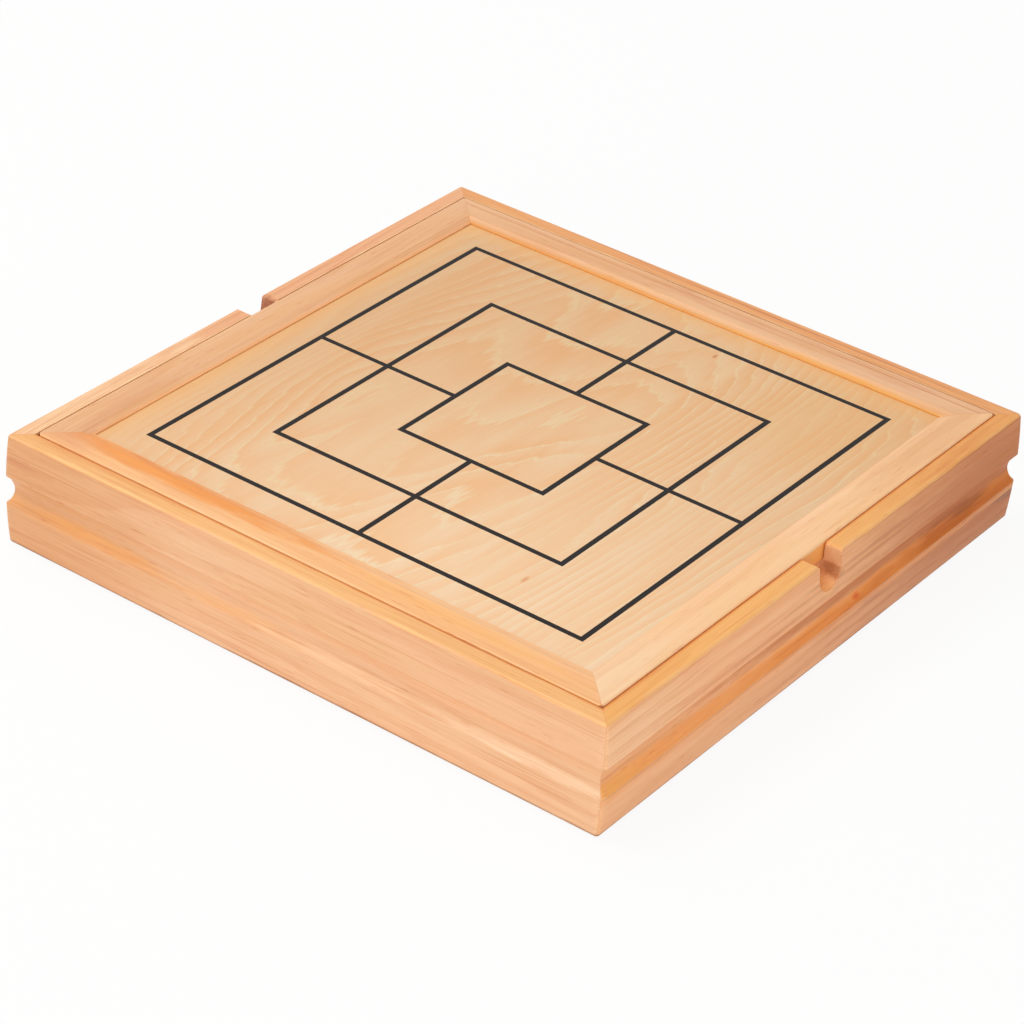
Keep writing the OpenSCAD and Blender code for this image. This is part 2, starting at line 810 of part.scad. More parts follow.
module chequer_ink() {
    translate([0, 0, panel_z]) linear_extrude(height = ink_t) chequer_plan();
}

module morris_lines() { color("black") morris_ink(); }
module chequer_squares() { color("saddlebrown") chequer_ink(); }

module lid_panel() {
    color("moccasin") difference() {
        translate([-panel_half, -panel_half, panel_z]) cube([2 * panel_half, 2 * panel_half, panel_t]);
        morris_ink();
        chequer_ink();
    }
}

front_side();
back_side();
left_side();
right_side();
bottom_panel();
front_divider();
middle_divider();
left_divider();
right_divider();
dice_divider();
pick_up_sticks();
dice();
red_card_pack();
blue_card_pack();
dominoes();
light_draughtsmen();
dark_draughtsmen();
light_pawns();
light_rooks();
light_knights();
light_bishops();
light_queen();
light_king();
dark_pawns();
dark_rooks();
dark_knights();
dark_bishops();
dark_queen();
dark_king();
lid_front_rail();
lid_back_rail();
lid_left_rail();
lid_right_rail();
lid_panel();
morris_lines();
chequer_squares();
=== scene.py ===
# %% [markdown]
# # A games compendium in varnished pine
#
# The real object is a shallow square box. Four moulded lengths of pine are mitred at the corners, and
# a framed plywood panel drops into a rebate round the rim as a lid. The panel is printed on both sides:
# nine men's morris above, a chequered board below. The joinery is already modelled, so this script
# gives every piece its finish, makes the two packs of cards, and sets up the light and the camera.
#
# The packed pieces come in as Blender objects in metres, each with its place in its own mesh.

# %% Load the box
import math
import random
from collections import namedtuple
import bpy
from mathutils import Matrix, Vector


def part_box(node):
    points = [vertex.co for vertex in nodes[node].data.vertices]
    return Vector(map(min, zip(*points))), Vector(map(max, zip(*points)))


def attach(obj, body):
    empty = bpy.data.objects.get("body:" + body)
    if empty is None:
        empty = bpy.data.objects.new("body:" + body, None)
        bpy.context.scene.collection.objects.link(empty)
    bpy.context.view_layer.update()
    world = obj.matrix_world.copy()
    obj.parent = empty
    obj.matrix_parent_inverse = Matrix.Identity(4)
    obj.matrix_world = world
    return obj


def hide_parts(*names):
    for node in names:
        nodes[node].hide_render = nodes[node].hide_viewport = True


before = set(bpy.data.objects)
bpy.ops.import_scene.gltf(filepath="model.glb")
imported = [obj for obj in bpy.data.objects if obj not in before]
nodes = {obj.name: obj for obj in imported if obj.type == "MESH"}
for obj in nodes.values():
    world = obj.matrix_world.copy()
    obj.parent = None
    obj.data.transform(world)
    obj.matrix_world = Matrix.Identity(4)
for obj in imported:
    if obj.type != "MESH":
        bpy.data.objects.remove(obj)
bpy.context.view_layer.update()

# %% [markdown]
# ## Units and colours
#
# Blender counts in metres, but a joiner counts in millimetres, so places are written in millimetres and
# turned into metres by one named factor. Colours are written as they look on a screen, from 0 to 255.
# Shaders want them linear, and the standard curve below does that.

# %% Millimetres and colours
MM = 0.001


def linear(red, green, blue):
    """A screen colour from 0 to 255 as the linear RGBA that shaders use."""
    def channel(value):
        value = value / 255
        return value / 12.92 if value <= 0.04045 else ((value + 0.055) / 1.055) ** 2.4

    return (channel(red), channel(green), channel(blue), 1.0)


def corners(node):
    """Lowest and highest corner of a packed piece, in millimetres."""
    low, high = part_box(node)
    return low / MM, high / MM


print("mid grey is", round(linear(128, 128, 128)[0], 3))

# %% [markdown]
# ## Shader sums in Python
#
# A material is a graph of nodes. Written node by node, the sum 1 - mask takes four lines. This class holds
# one output socket and teaches Python's operators to add the Math node and its links, so the sum can be
# written as it is read. Everything that isn't arithmetic on numbers goes through `add`.

# %% Signals
class Signal:
    """An output socket of a node tree. Operators on it add Math nodes."""

    def __init__(self, tree, socket=None):
        self.tree = tree
        self.socket = socket

    def add(self, kind, settings=None, inputs=None, out=0):
        """Adds a node of a kind: first its settings, then the values or links of its sockets."""
        made = self.tree.nodes.new("ShaderNode" + kind)
        for name, value in (settings or {}).items():
            if name == "stops":
                set_stops(made.color_ramp, value)
            else:
                setattr(made, name, value)
        for name, value in (inputs or {}).items():
            if isinstance(value, Signal):
                self.tree.links.new(value.socket, made.inputs[name])
            else:
                made.inputs[name].default_value = value
        return Signal(self.tree, made.outputs[out])

    def math(self, operation, *terms):
        """Adds one Math node with its operation and terms."""
        return self.add("Math", {"operation": operation}, dict(enumerate(terms)))

    def __add__(self, other):
        return self.math("ADD", self, other)

    def __sub__(self, other):
        return self.math("SUBTRACT", self, other)

    def __rsub__(self, other):
        return self.math("SUBTRACT", other, self)

    def __mul__(self, other):
        return self.math("MULTIPLY", self, other)

    def __truediv__(self, other):
        return self.math("DIVIDE", self, other)

    def __rtruediv__(self, other):
        return self.math("DIVIDE", other, self)

    def __abs__(self):
        return self.math("ABSOLUTE", self)

    def __gt__(self, other):
        return self.math("GREATER_THAN", self, other)

    def __lt__(self, other):
        return self.math("LESS_THAN", self, other)

    __radd__ = __add__
    __rmul__ = __mul__


def set_stops(colour_ramp, stops):
    """Gives a colour ramp its stops, each a place from 0 to 1 and a colour."""
    while len(colour_ramp.elements) > len(stops):
        colour_ramp.elements.remove(colour_ramp.elements[-1])
    while len(colour_ramp.elements) < len(stops):
        colour_ramp.elements.new(1.0)
    for element, (place, colour) in zip(colour_ramp.elements, stops):
        element.position = place
        element.color = colour


print("operators:", [name for name in vars(Signal) if name.startswith("__") and name != "__init__"])

# %% [markdown]
# ## Small shader tools
#
# A few shapes come back in every finish: a smooth step from 0 to 1, a bump round one value, noise that is
# stretched along the grain, and a mix of two colours. Naming them keeps the recipes short.

# %% Steps, noise and mixes
def step(signal, start, end):
    """0 below start, 1 above end, and a smooth curve between. Start may be the larger one."""
    return signal.add("MapRange", {"interpolation_type": "SMOOTHSTEP"},
                      {"Value": signal, "From Min": start, "From Max": end})


def hill(signal, middle, half_width):
    """1 at the middle, falling smoothly to 0 at half_width on either side."""
    return step(abs(signal - middle), half_width, 0.0)


def joined(x, y, z):
    """One vector from three signals or numbers."""
    first = next(part for part in (x, y, z) if isinstance(part, Signal))
    return first.add("CombineXYZ", inputs={0: x, 1: y, 2: z})


SEED_SHIFT = (7.3, 3.1, 5.7)


def mottle(grain, cells, seed, detail=2.0, distortion=0.0):
    """Noise from 0 to 1. Cells are its sizes in mm along the grain, across it and upwards."""
    place = grain[0].add("Mapping", {"vector_type": "POINT"},
                         {"Vector": joined(*grain),
                          "Location": tuple(seed * shift for shift in SEED_SHIFT),
                          "Scale": tuple(1 / cell for cell in cells)})
    return place.add("TexNoise", {"noise_dimensions": "3D"},
                     {"Vector": place, "Scale": 1.0, "Detail": detail, "Distortion": distortion})


def tint(mask, colour, other):
    """Where the mask is 1 the other colour shows, and where it is 0 the first does."""
    return mask.add("Mix", {"data_type": "RGBA"}, {0: mask, 6: colour, 7: other}, out=2)


def shade(colour, mask, darker):
    """Multiplies a colour by a darker or lighter one where the mask is 1."""
    return mask.add("Mix", {"data_type": "RGBA", "blend_type": "MULTIPLY"},
                    {0: mask, 6: colour, 7: darker}, out=2)


def grey(level):
    """A grey that is already linear."""
    return (level, level, level, 1.0)


print("each seed moves a noise by", SEED_SHIFT, "cells")

# %% [markdown]
# ## Where a point lies in the plank
#
# Every recipe starts from Object coordinates. They are fixed to the piece, so the grain doesn't slide when
# the lid is lifted or the camera moves, and unlike Generated coordinates they don't stretch to its size. A
# Mapping node turns them, so that the grain of any rail runs along the first number, and the recipes then
# work in millimetres.

# %% Finishes and their coordinates
GRAIN_TURNS = {"X": (0, 0, 0), "Y": (0, 0, -math.pi / 2), "Z": (0, math.pi / 2, 0)}
COAT_ROUGHNESS = 0.3


def new_finish(name):
    """An empty material and a Signal to build its nodes from."""
    material = bpy.data.materials.new(name)
    material.use_nodes = True
    material.node_tree.nodes.clear()
    return material, Signal(material.node_tree)


def grain_place(start, along):
    """Object coordinates in mm as (along the grain, across it, up), for a grain along X, Y or Z."""
    object_place = start.add("TexCoord", out="Object")
    turned = start.add("Mapping", {"vector_type": "POINT"},
                       {"Vector": object_place, "Rotation": GRAIN_TURNS[along], "Scale": (1 / MM,) * 3})
    return tuple(start.add("SeparateXYZ", inputs={0: turned}, out=axis) for axis in "XYZ")


def true_place(start):
    """Object coordinates in mm, unturned."""
    return grain_place(start, "X")


def finish_tree(start, kind, shader):
    """Adds the output node of a material or a world and joins the shader to it."""
    output = start.tree.nodes.new("ShaderNode" + kind)
    start.tree.links.new(shader.socket, output.inputs["Surface"])


def close_finish(start, colour, roughness, height=None, depth_mm=0.1, coat=0.0, sheen=0.5):
    """Joins a colour, a roughness and a height to the shader of the material being made."""
    sockets = {"Base Color": colour, "Roughness": roughness, "Specular IOR Level": sheen,
               "Coat Weight": coat, "Coat Roughness": COAT_ROUGHNESS}
    if height is not None:
        sockets["Normal"] = start.add("Bump", inputs={"Height": height, "Distance": depth_mm * MM})
    finish_tree(start, "OutputMaterial", start.add("BsdfPrincipled", inputs=sockets))


def wear(material, *names):
    """Gives packed pieces a finish."""
    for name in names:
        for slot in nodes[name].material_slots:
            slot.material = material
    print(material.name, "on", ", ".join(names))


print("the grain can run along", ", ".join(GRAIN_TURNS))

# %% [markdown]
# ## The camera
#
# The photograph looks down on one corner with a long lens, so parallel edges hardly converge. The camera
# is placed by the point it aims at, its distance, and two angles: how far it has walked round the box, and
# how high it stands. The picture is also tilted a little, so the camera is rolled about its own axis. The
# numbers were found by matching the corners of the printed squares.

# %% Camera
aim = Vector((34.28, -54.07, 48.4)) * MM
aim_distance = 1371.8 * MM
walk_round = math.radians(34.891)
stand_high = math.radians(32.495)
camera_roll = math.radians(4.085)
lens_mm = 125.84
film_mm = 36

towards_camera = Vector((math.sin(walk_round) * math.cos(stand_high),
                         -math.cos(walk_round) * math.cos(stand_high),
                         math.sin(stand_high)))
bpy.ops.object.camera_add()
camera = bpy.context.object
camera.name = "photo_camera"
turn = (-towards_camera).to_track_quat("-Z", "Y").to_matrix().to_4x4()
camera.matrix_world = (Matrix.Translation(aim + aim_distance * towards_camera)
                       @ turn @ Matrix.Rotation(camera_roll, 4, "Z"))
camera.data.lens = lens_mm
camera.data.sensor_width = film_mm
camera.data.clip_start = 0.05
camera.data.clip_end = 50
bpy.context.scene.camera = camera
print("camera at", [round(v / MM) for v in camera.location], "mm")

# %% [markdown]
# ## Studio light
#
# The photograph is a catalogue picture on white. The top is brightest, the front is nearly as bright, and
# the right side is darker and browner, so the main light is large, high and to the left. A pale sky fills
# the shadows. Only rays that come straight from the camera, or by a reflection, see that sky as white, so
# the white background adds nothing to the light on the wood.

# %% Which rays see the background
scene = bpy.context.scene
scene.view_settings.view_transform = "Standard"


def seen_rays(start):
    """1 for rays that come from the camera, a reflection or clear glass, and 0 for light on a surface."""
    kinds = [start.add("LightPath", out=kind) for kind in ("Is Camera Ray", "Is Glossy Ray",
                                                           "Is Transmission Ray")]
    return start.math("MAXIMUM", start.math("MAXIMUM", kinds[0], kinds[1]), kinds[2])


print("colours are shown as", scene.view_settings.view_transform)

# %% Sky
sky_fill = 0.62
sky = bpy.data.worlds.new("studio_sky")
scene.world = sky
sky.use_nodes = True
sky.node_tree.nodes.clear()
sky_start = Signal(sky.node_tree)
sky_strength = seen_rays(sky_start) * (1.0 - sky_fill) + sky_fill
finish_tree(sky_start, "OutputWorld", sky_start.add("Background", inputs={"Color": grey(1.0),
                                                                          "Strength": sky_strength}))
print("sky fills with", sky_fill, "and is seen as 1.0")

# %% Lamps
warm_white = (255, 250, 244)


def softbox(name, place, side, watts):
    """A square lamp at a place in metres, turned to face the middle of the box."""
    bpy.ops.object.light_add(type="AREA", location=place)
    lamp = bpy.context.object
    lamp.name = name
    lamp.data.shape = "SQUARE"
    lamp.data.size = side
    lamp.data.energy = watts
    lamp.data.color = linear(*warm_white)[:3]
    lamp.rotation_euler = (-Vector(place)).to_track_quat("-Z", "Y").to_euler()
    return lamp


softbox("key_light", (-0.75, -0.25, 1.45), 1.0, 9.8)
softbox("front_light", (-0.20, -1.60, 0.32), 0.9, 3.8)
softbox("side_light", (1.12, -0.98, 0.34), 0.8, 3.8)

# %% [markdown]
# ## Floor
#
# The box stands on a wide white sweep. Part of what the camera sees of it is its own white, and the rest is
# the light that falls on it, so the box keeps a soft shadow. On a plain white background it would float.

# %% Floor
sweep_metres = 12
air_under_feet = 0.2 * MM
own_white = 0.9
bpy.ops.object.select_all(action="DESELECT")
bpy.ops.mesh.primitive_plane_add(size=sweep_metres, location=(0, 0, -air_under_feet))
floor = bpy.context.object
floor.name = "studio_floor"
floor_white, floor_start = new_finish("floor_white")
paper = floor_start.add("BsdfDiffuse", inputs={"Color": linear(250, 250, 250)})
glow = floor_start.add("Emission", inputs={"Color": grey(1.0), "Strength": 1.0})
finish_tree(floor_start, "OutputMaterial",
            floor_start.add("MixShader", inputs={0: seen_rays(floor_start) * own_white, 1: paper, 2: glow}))
floor.data.materials.append(floor_white)
print("floor is", floor.dimensions.x, "m wide")

# %% [markdown]
# ## Varnished pine
#
# A board is a slice out of a log, and its figure is where the slice cuts the yearly rings. So the recipe
# first makes the log: the distance from its heart, bent a little along the trunk, counted in rings. Each
# ring fades from pale early wood to a darker late edge and then stops short. The same sum gives straight
# lines on a face, arches where the cut runs shallow, and curved end grain in the finger notches, all of
# them meeting at the edges. A Wave Texture would be quicker, but every board would get the same even
# stripes. Fine threads, short resin dashes and slow clouds of colour lie on top.
#
# Varnish turns some stretches amber, mostly where it pools in the coves, and there the amber is also painted
# bounced light. Arrises that hands have rubbed are paler, and that paler line is also a painted highlight.
# Other patches are painted light and shade: painted shade in coves, gaps and notches and towards the back,
# painted light in the gaps and on notch floors, and painted highlights on lips and corners. Such stretches
# could be painted on an image, but written as patches they need no file. A patch has a centre and a reach,
# both as (along, across, up) in millimetres, a tone, how strongly it covers, and its core, the share of the
# reach over which it is full. A reach of LONG runs on to the end of the piece.

# %% Patches
LONG = 9999
RAGGED_REACH = 16
Patch = namedtuple("Patch", "centre reach tone strength core", defaults=(1.0, 0.3))


def reaches_off(grain, centre, reach):
    """Distance from a point, counted in reaches. Places are (along, across, up) in mm."""
    start = grain[0]
    gap = start.add("VectorMath", {"operation": "SUBTRACT"}, {0: joined(*grain), 1: centre})
    scaled = start.add("VectorMath", {"operation": "DIVIDE"}, {0: gap, 1: reach})
    return start.add("VectorMath", {"operation": "LENGTH"}, {0: scaled}, out="Value")


def nearness(grain, centre, reach, core=0.0, ragged=0.0):
    """1 in the core of a reach round a point, falling to 0 at its end."""
    return step(reaches_off(grain, centre, reach) + ragged, 1.0, core)


def patched(colour, grain, patches, ragged):
    """Lays patches over a colour, with ragged edges that follow the fibres. A wide patch fades evenly."""
    for patch in patches:
        raggedness = min(1.0, RAGGED_REACH / min(patch.reach))
        mask = nearness(grain, patch.centre, patch.reach, patch.core, ragged * raggedness)
        colour = tint(mask * patch.strength, colour, linear(*patch.tone))
    return colour


print("a patch holds", ", ".join(Patch._fields))

# %% Rings, arrises and end grain
trunk_sway, trunk_bow, ring_wander = 18, 9, 0.5
knot_spread, knot_push = 2.2, 2
late_from, late_full, ring_end = 0.2, 0.88, 0.9
straight_across = (0.78, 0.92)


def late_wood(grain, heart, ring, slope, seed, knots):
    """0 in a ring's early wood, rising to 1 at its late edge; a knot pushes the rings aside."""
    along, across, up = grain
    side_gap = across - heart[0] + mottle(grain, (170, 80, 80), seed) * trunk_sway
    up_gap = up - heart[1] + along * slope + mottle(grain, (110, 40, 40), seed + 1) * trunk_bow
    radius = along.math("SQRT", side_gap * side_gap + up_gap * up_gap)
    for knot in knots:
        spread = tuple(knot_spread * reach for reach in knot.reach)
        radius = radius + nearness(grain, knot.centre, spread) * knot.reach[2] * knot_push
    wander = mottle(grain, (45, 7, 7), seed + 2) * ring_wander
    place = along.math("FRACT", radius / ring + wander)
    return step(place, late_from, late_full) * step(place, 1.0, ring_end)


def arris_wear_and_highlight(grain, arrises, reach=1.6, core=0.2):
    """1 along the arrises of a rail, each given as (across, up): rubbed paler and a painted highlight, more
    here and less there.
    """
    along, across, up = grain
    rubbed = None
    for arris_across, arris_up in arrises:
        side_gap = abs(across) - arris_across
        up_gap = up - arris_up
        line = step(along.math("SQRT", side_gap * side_gap + up_gap * up_gap), reach, core)
        rubbed = line if rubbed is None else along.math("MAXIMUM", rubbed, line)
    return rubbed * step(mottle(grain, (22, 9, 9), 41), 0.3, 0.7)


def end_grain(grain, run):
    """1 where the surface is cut straight across the fibres, as on the walls of a finger notch."""
    facing = grain[0].add("NewGeometry", out="Normal")
    return step(abs(facing.add("SeparateXYZ", inputs={0: facing}, out=run)), *straight_across)


print("a trunk sways by", trunk_sway, "mm and bows by", trunk_bow, "mm")

# %% The pine recipe
ring_mark, thread_mark, dash_mark = linear(240, 218, 198), linear(234, 204, 178), linear(226, 168, 130)
worn_and_lit_tone, end_tone, glue_tone = linear(255, 218, 170), linear(240, 192, 148), linear(222, 178, 142)
pine_cover = {"clouds": 0.75, "haze": 0.6, "end grain": 0.75, "fibres": 0.5, "dashes": 0.55, "mitre": 0.3,
              "worn": 0.22}
SATIN = 0.36


def pine(name, run, heart, tones, seed, ring=3.4, slope=0.02, rings=0.5, threads=0.5, patches=(), knots=(),
         arrises=(), coat=0.2, sheen=0.5):
    """Varnished pine. heart is the log's middle as (across, up); tones are plain, deep and rosy.

    ring is the width of a year in mm, slope the log's lean, and rings and threads how strongly they show.
    """
    material, start = new_finish(name)
    grain = grain_place(start, run)
    along, across = grain[:2]
    plain, deep, rosy = (linear(*tone) for tone in tones)
    late = late_wood(grain, heart, ring, slope, seed, knots)
    fibres = mottle(grain, (26, 0.7, 0.7), seed + 3, detail=3.0)
    clouds = step(mottle(grain, (130, 13, 13), seed + 4), 0.36, 0.66)
    haze = step(mottle(grain, (44, 6, 6), seed + 6), 0.42, 0.66)
    thread = step(mottle(grain, (64, 1.1, 1.1), seed + 5, detail=4.0), 0.52, 0.70)
    dash = step(mottle(grain, (11, 0.8, 0.8), seed + 8, detail=1.0), 0.66, 0.76)
    colour = tint(clouds * pine_cover["clouds"], plain, deep)
    colour = tint(haze * pine_cover["haze"], colour, rosy)
    colour = tint(end_grain(grain, run) * pine_cover["end grain"], colour, end_tone)
    blotches = mottle(grain, (18, 2.6, 2.6), seed + 9)
    ragged = (fibres - 0.5) * 0.5 + (blotches - 0.5) * 0.9
    colour = patched(colour, grain, (*patches, *knots), ragged)
    shown = step(mottle(grain, (150, 30, 30), seed + 7), 0.3, 0.65)
    colour = shade(colour, late * shown * rings, ring_mark)
    colour = shade(colour, thread * (shown * 0.5 + 0.5) * threads, thread_mark)
    colour = shade(colour, step(fibres, 0.4, 0.75) * threads * pine_cover["fibres"], thread_mark)
    colour = shade(colour, dash * (clouds * 0.5 + 0.5) * pine_cover["dashes"], dash_mark)
    mitre = step(abs(abs(along) - abs(across)), 0.35, 0.05)
    colour = shade(colour, mitre * pine_cover["mitre"], glue_tone)
    roughness = fibres * 0.14 + late * 0.05 + SATIN
    height = fibres * 0.6 + late * 0.4 - dash * 0.3
    if arrises:
        # Paler along the arrises: partly wear, partly a painted highlight.
        rubbed = arris_wear_and_highlight(grain, arrises)
        colour = tint(rubbed * pine_cover["worn"], colour, worn_and_lit_tone)
        roughness = roughness + rubbed * 0.12
    close_finish(start, colour, roughness, height, depth_mm=0.05, coat=coat, sheen=sheen)
    return material


print("how far each layer of the pine covers:", pine_cover)

# %% [markdown]
# ## The four sides
#
# The photograph shows the front as an even peach with faint threads along the grain, an orange stretch in
# the left part of its cove that is partly painted bounced light, and a pale lip with a painted highlight
# under the right part. The right side is browner towards the back, partly darker wood and partly painted
# shade. Its cove has a strong orange band in the lower half, partly varnish and partly painted bounced
# light, a brown leaf of painted shade near the back end and one small knot. Painted shade also lies in the
# gap round the lid and along the foot. The narrow top of the rim is golden on both. The unseen sides get
# boards of the same kind, each cut from another part of the log.
#
# The sides are 50 mm high with the middle of the cove half way up, and a patch's height is above the table.

# %% Side measures and tones
rim_z = corners("front_side")[1].z
half = corners("right_side")[1].x
arris_back, rim_width, painted_light_drop = 1.6, 9.1, 3.4
side_arrises = [(half - arris_back, rim_z), (half - arris_back, 0.0)]
rebate = half - rim_width
# Painted shade on the inner edge of the rim, beside the gap round the lid.
gap_painted_shade = Patch((0, -rebate, rim_z), (LONG, 1.2, 2.5), (236, 146, 60), 0.9, 0.3)
peach = [(241, 192, 147), (238, 183, 132), (242, 186, 141)]
tan = [(249, 180, 117), (236, 163, 95), (243, 170, 110)]
right_tan = [(252, 190, 136), (240, 172, 113), (247, 180, 127)]


def rim_gold(tone, strength=0.9):
    """The golden top of the rim, which ends half way round the arris."""
    return Patch((0, 0, rim_z + 1), (LONG, LONG, 2.0), tone, strength, 0.55)


def foot_painted_shadow(across):
    """A painted contact shadow: a thin brown line along the bottom arris."""
    return Patch((0, across, 0.2), (LONG, 5, 1.7), (164, 100, 54), 0.85, 0.45)


def gap_painted_light(across, up, tone=(255, 180, 96)):
    """Painted light on a face in the gap round the lid, where the narrow gap lies in shade."""
    return Patch((0, across, up), (LONG, 1.0, 5.5), tone, 0.95, 0.6)


# Painted light on the rebate's wall in the gap round the lid.
rebate_painted_light = gap_painted_light(rebate, rim_z - painted_light_drop, (255, 214, 160))
print("rim at", round(rim_z, 1), "mm, rebate at", round(rebate, 1), "mm")

# %% Front side
front_patches = [
    # Painted shade makes the left end browner, and the cove's left part is orange, partly varnish and partly
    # painted bounced light, with a brown streak above it.
    Patch((-160, -half, 25), (120, LONG, LONG), (228, 168, 114), 0.95, 0.3),
    Patch((-104, -half, 20.4), (58, LONG, 3.8), (245, 170, 90), 0.7, 0.1),
    Patch((-26, -half, 20), (44, LONG, 3.0), (250, 190, 124), 0.5, 0.1),
    Patch((-138, -half, 39), (22, LONG, 3.0), (214, 138, 88), 0.7, 0.2),
    # The cove's lower lip is pale with a painted highlight, and its middle and the face above it are warm.
    Patch((24, -half, 19.2), (60, LONG, 2.4), (255, 212, 168), 0.75, 0.2),
    Patch((112, -half, 19.0), (66, LONG, 2.3), (255, 218, 180), 0.85, 0.3),
    Patch((60, -half, 26.5), (120, LONG, 4), (248, 192, 144), 0.5, 0.2),
    Patch((10, -half, 34), (60, LONG, 10), (238, 184, 130), 0.5, 0.1),
    # A painted highlight runs down the rounded near corner, and the foot of the face is light.
    Patch((half - 1, -half, 25), (3.4, 4, LONG), (252, 202, 156), 0.35, 0.3),
    Patch((40, -half, 8), (150, LONG, 10), (250, 202, 158), 0.4, 0.1),
    # The rim, painted shade in the gap round the lid, and a painted shadow along the foot.
    rim_gold((252, 190, 114)),
    Patch((-100, -half + 7.6, rim_z + 1), (90, 3.2, 2.2), (232, 152, 66), 0.8, 0.1),
    gap_painted_shade,
    foot_painted_shadow(-half),
]
wear(pine("front_pine", "X", (-70, 60), peach, 1, rings=0.4, threads=0.6, arrises=side_arrises,
          patches=front_patches), "front_side")

# %% Right side
right_patches = [
    # Browner towards the back, partly darker wood and partly painted shade, paler at the near end with
    # painted light, and brown threads above the cove.
    Patch((150, -half, 25), (190, LONG, 60), (194, 110, 38), 0.95, 0.2),
    Patch((-136, -half, 38), (66, LONG, 16), (253, 200, 152), 0.85, 0.3),
    Patch((60, -half, 41.2), (120, LONG, 1.5), (200, 124, 68), 0.65, 0.2),
    Patch((50, -half, 38.2), (120, LONG, 1.3), (200, 124, 68), 0.55, 0.2),
    Patch((-20, -half, 33.6), (120, LONG, 1.6), (214, 138, 82), 0.4, 0.1),
    # The cove: painted shade makes it brown in its middle, and a strong orange band below is partly varnish
    # and partly painted bounced light.
    Patch((50, -half, 24.9), (170, LONG, 4.8), (200, 120, 58), 0.75, 0.35),
    Patch((0, -half, 19.0), (LONG, LONG, 4.3), (254, 174, 98), 0.92, 0.35),
    Patch((50, -half, 19.2), (130, LONG, 4.2), (244, 150, 62), 0.8, 0.2),
    Patch((-146, -half, 20), (40, LONG, 4), (252, 180, 98), 0.8, 0.3),
    Patch((132, -half, 19.8), (120, LONG, 4.4), (212, 118, 14), 0.9, 0.3),
    # The brown leaf, painted shade near the back end of the cove.
    Patch((98, -half, 20.4), (40, LONG, 4.2), (204, 108, 0), 0.8, 0.2),
    Patch((96, -half, 23.4), (26, LONG, 2.4), (176, 92, 0), 0.75, 0.3),
    Patch((110, -half, 21.6), (20, LONG, 3.1), (172, 90, 0), 0.85, 0.35),
    # Painted shade along the lit lower lip under the band, and dark streaks below the cove.
    Patch((0, -half, 17.3), (LONG, LONG, 0.9), (214, 148, 98), 0.6, 0.3),
    Patch((139, -half, 14.4), (16, LONG, 0.8), (118, 84, 56), 0.8, 0.3),
    Patch((141, -half, 12.6), (12, LONG, 0.7), (126, 88, 58), 0.7, 0.3),
    Patch((34, -half, 14.6), (12, LONG, 3), (206, 132, 88), 0.5, 0.1),
    # A painted highlight on the rounded near corner, painted shade on the wall of the finger notch, and
    # painted light on its floor.
    Patch((-half + 1, -half, 25), (3.4, 4, LONG), (252, 202, 156), 0.3, 0.3),
    Patch((8.6, -141, 39.6), (4, 8, 3), (186, 120, 78), 0.85, 0.3),
    Patch((0.8, -141, 35.6), (7, 6, 4.4), (255, 190, 122), 0.9, 0.5),
    # The rim, painted shade in the gap round the lid, and a painted shadow along the foot.
    rim_gold((250, 184, 102)),
    Patch((110, -half + 5, rim_z + 1), (120, 7, 2.2), (228, 148, 76), 0.75, 0.2),
    gap_painted_shade,
    foot_painted_shadow(-half),
]
right_knots = [Patch((25, -half, 20.0), (3.6, LONG, 1.3), (230, 100, 0), 0.9, 0.1)]
wear(pine("right_pine", "Y", (-118, -74), right_tan, 2, ring=6.4, rings=0.42, threads=0.55,
          arrises=side_arrises, patches=right_patches, knots=right_knots, coat=0.1, sheen=0.3), "right_side")

# %% Back and left side
back_patches = [
    rim_gold((238, 166, 94)),
    Patch((50, half - 4.6, rim_z + 1), (120, 1.3, 2.4), (200, 118, 62), 0.75, 0.2),
    Patch((-60, half - 2.4, rim_z + 1), (80, 1.0, 2.4), (208, 128, 70), 0.65, 0.2),
    Patch((110, half - 1.8, rim_z + 1), (60, 0.9, 2.4), (208, 128, 70), 0.65, 0.2),
    rebate_painted_light,
    foot_painted_shadow(half),
]
left_patches = [
    rim_gold((242, 176, 124)),
    Patch((-110, half - 5, rim_z + 1), (110, 9, 2.2), (255, 212, 164), 0.85, 0.4),
    # Painted shade on the wall of the finger notch.
    Patch((8.6, half - 5, 44), (3, 9, 9), (178, 104, 58), 0.9, 0.4),
    rebate_painted_light,
    foot_painted_shadow(half),
]
wear(pine("back_pine", "X", (60, -30), tan, 3, rings=0.7, arrises=side_arrises,
          patches=back_patches), "back_side")
wear(pine("left_pine", "Y", (80, 70), peach, 4, rings=0.6, arrises=side_arrises,
          patches=left_patches), "left_side")

# %% [markdown]
# ## The lid's frame
#
# The lid's rails are narrower and paler. The back one has an orange band in the little cove along its inner
# edge, painted shade and painted bounced light, the front one is warm with a deep orange streak in its left
# half, and the near end of the right one is the palest of all. Their outer faces carry painted light in the
# gap round the lid. The same recipe serves them, with the heart of the log in another place for each.

# %% Rail measures and tones
lid_z = corners("lid_front_rail")[1].z
lid_half = corners("lid_right_rail")[1].x
frame_width, rail_painted_light_drop = 16, 5.4
inner_edge = lid_half - frame_width
lid_arrises = [(lid_half, lid_z)]
salmon = [(255, 198, 137), (252, 187, 119), (253, 193, 135)]
pinkish = [(240, 188, 138), (234, 174, 114), (236, 182, 138)]
cream = [(255, 208, 155), (249, 194, 134), (255, 206, 158)]


def rail_painted_light(across):
    """Painted orange light on the rail's outer face below the rounded arris, in the gap round the lid."""
    return gap_painted_light(across, lid_z - rail_painted_light_drop)


print("lid frame from", round(inner_edge, 1), "to", round(lid_half, 1), "mm")

